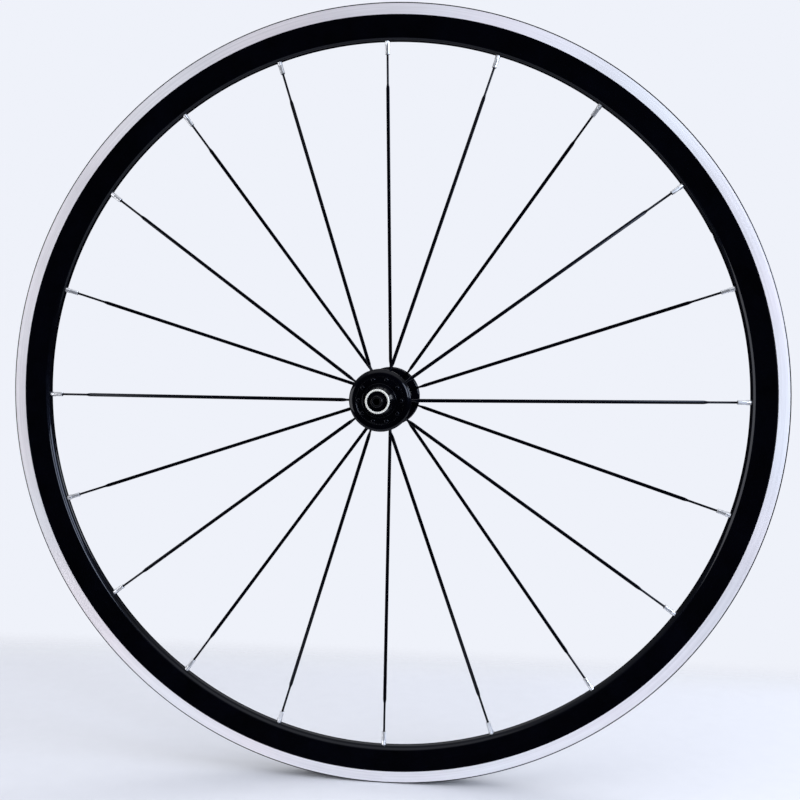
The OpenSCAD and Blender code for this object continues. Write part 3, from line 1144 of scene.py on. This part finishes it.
@dataclass
class HubShell:
    """Barrel and two thick flanges, slotted and drilled for the spokes, and a boss for each bearing."""

    lacing: Lacing
    barrel_r: float = 13.0
    blend: float = 5.0
    flange_r: float = 24.9
    flange_in_y: float = 28.6
    flange_round: float = 1.4
    crown_in_r: float = 19.6
    crown_y: float = 33.0
    flange_out_y: float = 35.8
    recess_y: float = 35.19
    boss_r: float = 13.6
    boss_y: float = 39.4
    seat_r: float = 12.0
    seat_y: float = 33.0
    bore_r: float = 10.6
    web_y: float = 32.99
    slot_w: float = 2.3
    slot_floor: float = 1.0
    segments: int = 360

    def outline(self) -> Array:
        """The loop from bore over boss, recess, crown and flange to the barrel, and its mirror image.

        Returns:
            Rows of (radius, y).
        """
        recess_in, recess_out = self.lacing.hole_r - 1.9, self.lacing.hole_r + 1.9
        crown_reach = (self.flange_r - self.crown_in_r, self.flange_out_y - self.crown_y - 0.12)
        curl, sweep = self.flange_round, self.blend
        half = np.vstack([
            corner_rows([
                (self.bore_r, self.seat_y, 0.2), (self.seat_r, self.seat_y, 0.15),
                (self.seat_r, self.boss_y, 0.3), (self.boss_r, self.boss_y, 0.35),
                (self.boss_r, self.recess_y, 0.0),
                (recess_in - 0.9, self.recess_y, 0.9), (recess_out - 0.5, self.recess_y, 0.5),
                (recess_out + 0.5, self.flange_out_y - 0.13, 0.5),
            ]),
            oval((self.crown_in_r, self.crown_y), crown_reach, (80, 0), 22),
            oval((self.flange_r - curl, self.flange_in_y + curl), (curl, curl), (0, -90), 8),
            oval((self.barrel_r + sweep, self.flange_in_y - sweep), (sweep, sweep), (90, 180), 16),
        ])
        return softened(mirrored_outline(half), 4)

    def slots(self) -> Surface:
        """A box along each spoke line, from its hole out through the flange's edge.

        Returns:
            The twenty boxes as one surface.
        """
        w, s, floor = self.slot_w / 2, self.lacing.hole_s, self.slot_floor
        x, y, z = np.meshgrid([-w, w], [floor - 8, floor], [s, s + 10.0], indexing="ij")
        box = np.stack([x, y, z], axis=-1).reshape(-1, 3)
        faces = np.array([
            (0, 1, 3, 2), (4, 6, 7, 5), (0, 4, 5, 1), (2, 3, 7, 6), (0, 2, 6, 4), (1, 5, 7, 3),
        ])
        shape = Surface(box, [faces])
        return joined([shape.moved(*self.lacing.line(k)) for k in range(self.lacing.count)])

    def holes(self) -> Surface:
        """A stepped pin through each flange: the slot's round end, the countersink and the hole.

        Returns:
            The twenty pins as one surface.
        """
        start, slot_r, top = self.flange_in_y - 3, self.slot_w / 2, self.recess_y
        rows = [
            (0, start), (slot_r, start), (slot_r, self.web_y - 0.02), (2.1, self.web_y - 0.02),
            (1.05, self.web_y + 1.1), (1.05, top - 0.2), (1.25, top + 0.05), (1.25, top + 1),
            (0, top + 1),
        ]
        shape = pin(np.array(rows, float), 32)
        return joined([shape.moved(*self.lacing.hole(k)) for k in range(self.lacing.count)])

    def build(self) -> bpy.types.Object:
        """Turns the shell, cuts the slots and holes, and coats it.

        Returns:
            The piece.
        """
        shell = written("hub_body", turned(self.outline(), self.segments))
        cut(shell, [self.slots(), self.holes()])
        coat(shell, Paint.HUB)
        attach(shell, "wheel")
        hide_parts("hub_shell")
        return shell


@dataclass
class AxleUnit:
    """Hollow axle, its two cone-shaped caps and the serrated rings that grip the fork."""

    end_y: float = 54.25
    end_r: float = 4.45
    bore_r: float = 2.75
    thread_r: float = 5.0
    relief_r: float = 4.2
    seat_r: float = 6.0
    shoulder_r: float = 7.3
    shoulder_y: float = 33.0
    seat_end_y: float = 38.5
    neck_y: float = 49.6
    cap_y: float = 49.2
    race_y: float = 39.0
    fork_y: float = 50.0
    ring_r: tuple[float, float] = (8.0, 9.5)
    ring_y: float = 48.0
    notches: int = 40
    notch_w: float = 0.5
    notch_h: float = 0.3
    cap_base_r: float = 12.6
    nose_r: float = 7.5
    spigot_r: float = 11.6
    spigot_y: float = 39.3
    lip_y: tuple[float, float] = (39.8, 40.6)
    segments: int = 240

    def axle(self) -> bpy.types.Object:
        """The stepped tube, from its chamfered end over the thread and bearing seat to the shoulder.

        Returns:
            The piece.
        """
        half = corner_rows([
            (self.bore_r, self.end_y, 0.35), (self.end_r, self.end_y, 0.5),
            (self.end_r, self.neck_y, 0.1), (self.relief_r, self.neck_y, 0.1),
            (self.relief_r, self.cap_y, 0.1), (self.thread_r, self.cap_y, 0.1),
            (self.thread_r, self.seat_end_y, 0.1), (self.seat_r, self.seat_end_y, 0.25),
            (self.seat_r, self.shoulder_y, 0.1), (self.shoulder_r, self.shoulder_y, 0.3),
        ])
        piece = written("hollow_axle", turned(softened(mirrored_outline(half), 5), self.segments))
        coat(piece, Paint.AXLE)
        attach(piece, "axle_unit")
        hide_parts("axle")
        return piece

    def cap(self, side: Side) -> bpy.types.Object:
        """The cap: nose against the race, spigot, lip and cone, with a flat face inside the ring.

        Args:
            side: the end it closes.

        Returns:
            The piece.
        """
        loop = corner_rows([
            (self.thread_r, self.race_y, 0.1), (self.nose_r, self.race_y, 0.1),
            (self.nose_r, self.spigot_y, 0.05), (self.spigot_r, self.spigot_y, 0.1),
            (self.spigot_r, self.lip_y[0], 0.05), (self.cap_base_r, self.lip_y[0], 0.25),
            (self.cap_base_r, self.lip_y[1], 0.3), (self.ring_r[1], self.ring_y, 0.15),
            (self.ring_r[0], self.ring_y, 0.02), (self.ring_r[0], self.cap_y, 0.2),
            (self.thread_r, self.cap_y, 0.25),
        ]) * np.array([1, side.value, 1])
        piece = written(f"end_cap_{side.word}", turned(softened(loop, 6), self.segments))
        coat(piece, Paint.CAP)
        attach(piece, "axle_unit")
        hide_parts(f"axle_cap_{side.word}")
        return piece

    def contact_ring(self, side: Side) -> bpy.types.Object:
        """The ring that bites the fork end: its outer face drops by the notch's depth in each notch.

        Round the ring, a point's distance from the nearest notch's middle is radius * |angle|; the drop
        is full inside half a notch's width and runs out over a short slope.

        Args:
            side: the end it stands at.

        Returns:
            The piece.
        """
        r_in, r_out = self.ring_r
        per_notch = 16
        columns = self.notches * per_notch
        outline = softened(corner_rows([
            (r_in, self.ring_y, 0.05), (r_in, self.fork_y, 0.45),
            (r_out, self.fork_y, 0.4), (r_out, self.ring_y, 0.05),
        ]), 5)
        shape = turned(outline, columns)
        step = 2 * math.pi / self.notches
        part = np.linspace(-0.5, 0.5, per_notch, endpoint=False)
        bend = np.sign(part) * np.abs(part * 2) ** 2.2 / 2
        angle = (np.arange(self.notches)[:, None] * step + bend[None, :] * step).ravel()[:, None]
        flat = shape.verts.reshape(columns, -1, 3)
        r = np.hypot(flat[..., 0], flat[..., 2])
        y = flat[..., 1]
        away = np.abs(np.broadcast_to(np.tile(bend * step, self.notches)[:, None], r.shape)) * r
        drop = self.notch_h * (1 - smoothstep(self.notch_w / 2 - 0.03, self.notch_w / 2 + 0.09, away))
        top = smoothstep(self.fork_y - 0.9, self.fork_y - 0.25, y)
        y = (y - drop * top) * side.value
        verts = np.stack([r * np.sin(angle), y, r * np.cos(angle)], axis=-1).reshape(-1, 3)
        surface = Surface(verts, shape.faces)
        if side is Side.LEFT:
            surface = surface.flipped()
        piece = written(f"serrated_ring_{side.word}", surface)
        coat(piece, Paint.CONTACT)
        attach(piece, "axle_unit")
        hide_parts(f"contact_ring_{side.word}")
        return piece

    def build(self) -> list[bpy.types.Object]:
        """The axle, then a cap and a ring for each side."""
        return [self.axle()] + [made(side) for side in Side for made in (self.cap, self.contact_ring)]


@dataclass
class Bearings:
    """The two cartridge bearings, whose own solids stay and only get their finishes."""

    nodes: dict[str, bpy.types.Object]

    def dress(self) -> None:
        """Puts a finish on each race, ball set, cage and seal."""
        finishes = {"outer_race": Paint.RACE, "inner_race": Paint.RACE, "balls": Paint.BALL,
                    "ball_cage": Paint.CAGE, "bearing_seals": Paint.SEAL}
        for word, paint in finishes.items():
            for side in Side:
                node = self.nodes[f"{word}_{side.word}"]
                for slot in node.material_slots:
                    slot.material = paint.material()
                LOG.info("dressed %s with %s", node.name, paint.value.name)


# ------------------------------------------------------------------ studio


@dataclass
class SoftLight:
    """One rectangular soft light, placed by its direction from the wheel's centre."""

    name: str
    place: tuple[float, float, float]
    size: tuple[float, float]
    watts: float
    colour: tuple[float, float, float] = (1.0, 1.0, 1.0)

    def hang(self, target: Vector) -> None:
        """Makes the light and turns it to the target.

        Args:
            target: the point it faces.
        """
        lamp = bpy.data.lights.new(self.name, "AREA")
        lamp.shape, lamp.size, lamp.size_y = "RECTANGLE", *self.size
        lamp.energy, lamp.color = self.watts, self.colour
        obj = bpy.data.objects.new(self.name, lamp)
        obj.location = self.place
        obj.rotation_mode = "QUATERNION"
        obj.rotation_quaternion = (target - Vector(self.place)).to_track_quat("-Z", "Y")
        obj.visible_camera = False
        bpy.context.scene.collection.objects.link(obj)


@dataclass
class Studio:
    """Pale floor, pale surroundings, soft lights and the camera.

    The camera stands at eye_at, in metres, and looks away from eye_back; eye_lens is its sensor's
    width and its focal length in millimetres, and eye_shift the lens's shift in sensor widths.
    """

    floor_z: float
    sheet_half: float = 1.2
    floor_half: tuple[float, float] = (0.95, 0.378)
    floor_fade: float = 0.14
    floor_colours: tuple[tuple[float, float, float], ...] = (
        (0.600, 0.596, 0.612), (0.614, 0.610, 0.626),
    )
    wall_colour: tuple[float, float, float, float] = (0.863, 0.887, 0.956, 1.0)
    light_colour: tuple[float, float, float, float] = (0.88, 0.92, 1.0, 1.0)
    light_above: float = 0.75
    light_least: float = 0.006
    light_matt: float = 0.52
    eye_at: tuple[float, float, float] = (0.1118, -0.8444, 0.0468)
    eye_back: tuple[float, float, float] = (0.1331, -0.9901, 0.0441)
    eye_up: tuple[float, float, float] = (-0.00515, 0.0, 1.0)
    eye_lens: tuple[float, float] = (36.0, 46.83)
    eye_shift: tuple[float, float] = (0.0205, -0.0164)
    lights: tuple[SoftLight, ...] = (
        SoftLight("window_right", (1.65, -0.55, 0.42), (0.95, 0.7), 22.0, (0.70, 0.79, 1.0)),
        SoftLight("window_front_right", (0.95, -1.50, 0.38), (0.46, 0.66), 11.0, (0.74, 0.83, 1.0)),
        SoftLight("strip_rear_right", (1.25, 1.0, 0.42), (0.4, 0.5), 5.0, (0.86, 0.92, 1.0)),
        SoftLight("front_overhead", (0.2, -1.5, 1.7), (2.6, 1.6), 9.0, (1.0, 0.985, 0.985)),
        SoftLight("rear_overhead", (-0.2, 1.5, 1.7), (2.6, 1.6), 12.0, (1.0, 0.985, 0.985)),
        SoftLight("left_fill", (-1.7, -0.9, -0.05), (1.6, 1.1), 20.0, (0.97, 0.97, 1.0)),
    )

    def floor(self) -> bpy.types.Object:
        """A flat sheet under the wheel that fades out towards its edge.

        Returns:
            The sheet.
        """
        x, y = np.meshgrid([-self.sheet_half, self.sheet_half], [-self.sheet_half, self.sheet_half])
        verts = np.stack([x.ravel(), y.ravel(), np.full(4, self.floor_z)], axis=-1) / MM
        sheet = written("floor", Surface(verts, [np.array([(0, 1, 3, 2)])]))
        g = Graph("pale_floor")
        x_, y_, _ = g.add("ShaderNodeSeparateXYZ", Vector=g.place()).outputs
        u = g.math("DIVIDE", g.math("ABSOLUTE", x_), self.floor_half[0])
        v = g.math("DIVIDE", g.math("ABSOLUTE", y_), self.floor_half[1])
        far = g.math("POWER", g.math("ADD", g.math("POWER", u, 4.0), g.math("POWER", v, 4.0)), 0.25)
        near = g.add("ShaderNodeMapRange", interpolation_type="SMOOTHSTEP")
        for i, value in enumerate((far, 1.0 - self.floor_fade / self.floor_half[1], 1.0, 1.0, 0.0)):
            g.put(near, i, value)
        grain = g.noise(g.place(), 60.0, 4.0)
        g.finish(
            Base_Color=g.blend(g.spread(grain, 0.0, 1.0), *self.floor_colours),
            Roughness=0.55,
            Alpha=near.outputs[0],
        )
        sheet.data.materials.append(g.material)
        sheet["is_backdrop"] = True
        return sheet

    def surroundings(self) -> None:
        """Pale room as the eye sees it, lit from above for reflections and all round for matt parts."""
        world = bpy.data.worlds.new("studio")
        bpy.context.scene.world = world
        world.use_nodes = True
        tree = world.node_tree
        tree.nodes.clear()

        def add(kind: str, *inputs: object, **settings: object) -> bpy.types.Node:
            """Adds a node.

            Args:
                kind: the node's type.
                inputs: values or sockets for its inputs, in order; None leaves one as it is.
                settings: its other settings.

            Returns:
                The node.
            """
            node = tree.nodes.new(kind)
            for key, value in settings.items():
                setattr(node, key, value)
            for i, value in enumerate(inputs):
                if isinstance(value, bpy.types.NodeSocket):
                    tree.links.new(value, node.inputs[i])
                elif value is not None:
                    node.inputs[i].default_value = value
            return node

        at = add("ShaderNodeTexCoord").outputs["Generated"]
        x, y, z = add("ShaderNodeSeparateXYZ", at).outputs
        soft = {"interpolation_type": "SMOOTHSTEP"}
        up = add("ShaderNodeMapRange", z, 0.25, 0.85, 0.0, 1.0, **soft).outputs[0]
        side = add("ShaderNodeMath", x, operation="ABSOLUTE").outputs[0]
        wide = add("ShaderNodeMapRange", side, 0.55, 0.95, 0.0, 1.0, **soft).outputs[0]
        broad = add("ShaderNodeMath", wide, 0.05, operation="MULTIPLY").outputs[0]
        total = add("ShaderNodeMath", up, broad, operation="ADD").outputs[0]
        mirrored = add(
            "ShaderNodeMath", total, self.light_above, self.light_least, operation="MULTIPLY_ADD"
        ).outputs[0]
        ray = add("ShaderNodeLightPath").outputs
        level = add(
            "ShaderNodeMath", ray["Is Diffuse Ray"], self.light_matt, mirrored, operation="MULTIPLY_ADD"
        ).outputs[0]
        seen = add("ShaderNodeBackground", self.wall_colour, 1.0).outputs[0]
        lit = add("ShaderNodeBackground", self.light_colour, level).outputs[0]
        mix = add("ShaderNodeMixShader", ray["Is Camera Ray"], lit, seen).outputs[0]
        add("ShaderNodeOutputWorld", mix)

    def camera(self) -> None:
        """The camera: a little right of the wheel and above its axle, looking slightly left and down."""
        back = Vector(self.eye_back).normalized()
        right = Vector(self.eye_up).cross(back).normalized()
        up = back.cross(right)
        lens = bpy.data.cameras.new("camera")
        lens.sensor_width, lens.lens = self.eye_lens
        lens.shift_x, lens.shift_y = self.eye_shift
        lens.clip_start, lens.clip_end = 0.01, 50.0
        eye = bpy.data.objects.new("camera", lens)
        turn = Matrix((right, up, back)).transposed().to_4x4()
        eye.matrix_world = Matrix.Translation(self.eye_at) @ turn
        bpy.context.scene.collection.objects.link(eye)
        bpy.context.scene.camera = eye

    def build(self) -> None:
        """Camera, floor, surroundings and lights, with plain colour handling."""
        view = bpy.context.scene.view_settings
        view.view_transform, view.look, view.exposure, view.gamma = "Standard", "None", 0.0, 1.0
        self.camera()
        self.floor()
        self.surroundings()
        for light in self.lights:
            light.hang(Vector((0.0, 0.0, 0.0)))


def report(pieces: list[bpy.types.Object]) -> None:
    """Logs each piece with its number of faces."""
    for piece in pieces:
        LOG.info("built %s with %d faces", piece.name, len(piece.data.polygons))


def main() -> None:
    """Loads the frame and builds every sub-assembly in order."""
    logging.basicConfig(level=logging.INFO, format="%(name)s: %(message)s")
    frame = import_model()
    cad_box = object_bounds()
    rim = Rim(LACING)
    report([rim.build(), rim.build_tape()])
    report(SpokeSet(LACING).build())
    report(NippleSet(LACING).build())
    report([HubShell(LACING).build()])
    report(AxleUnit().build())
    Bearings(frame["nodes"]).dress()
    Studio(floor_z=cad_box[0].z).build()


if __name__ == "__main__":
    main()
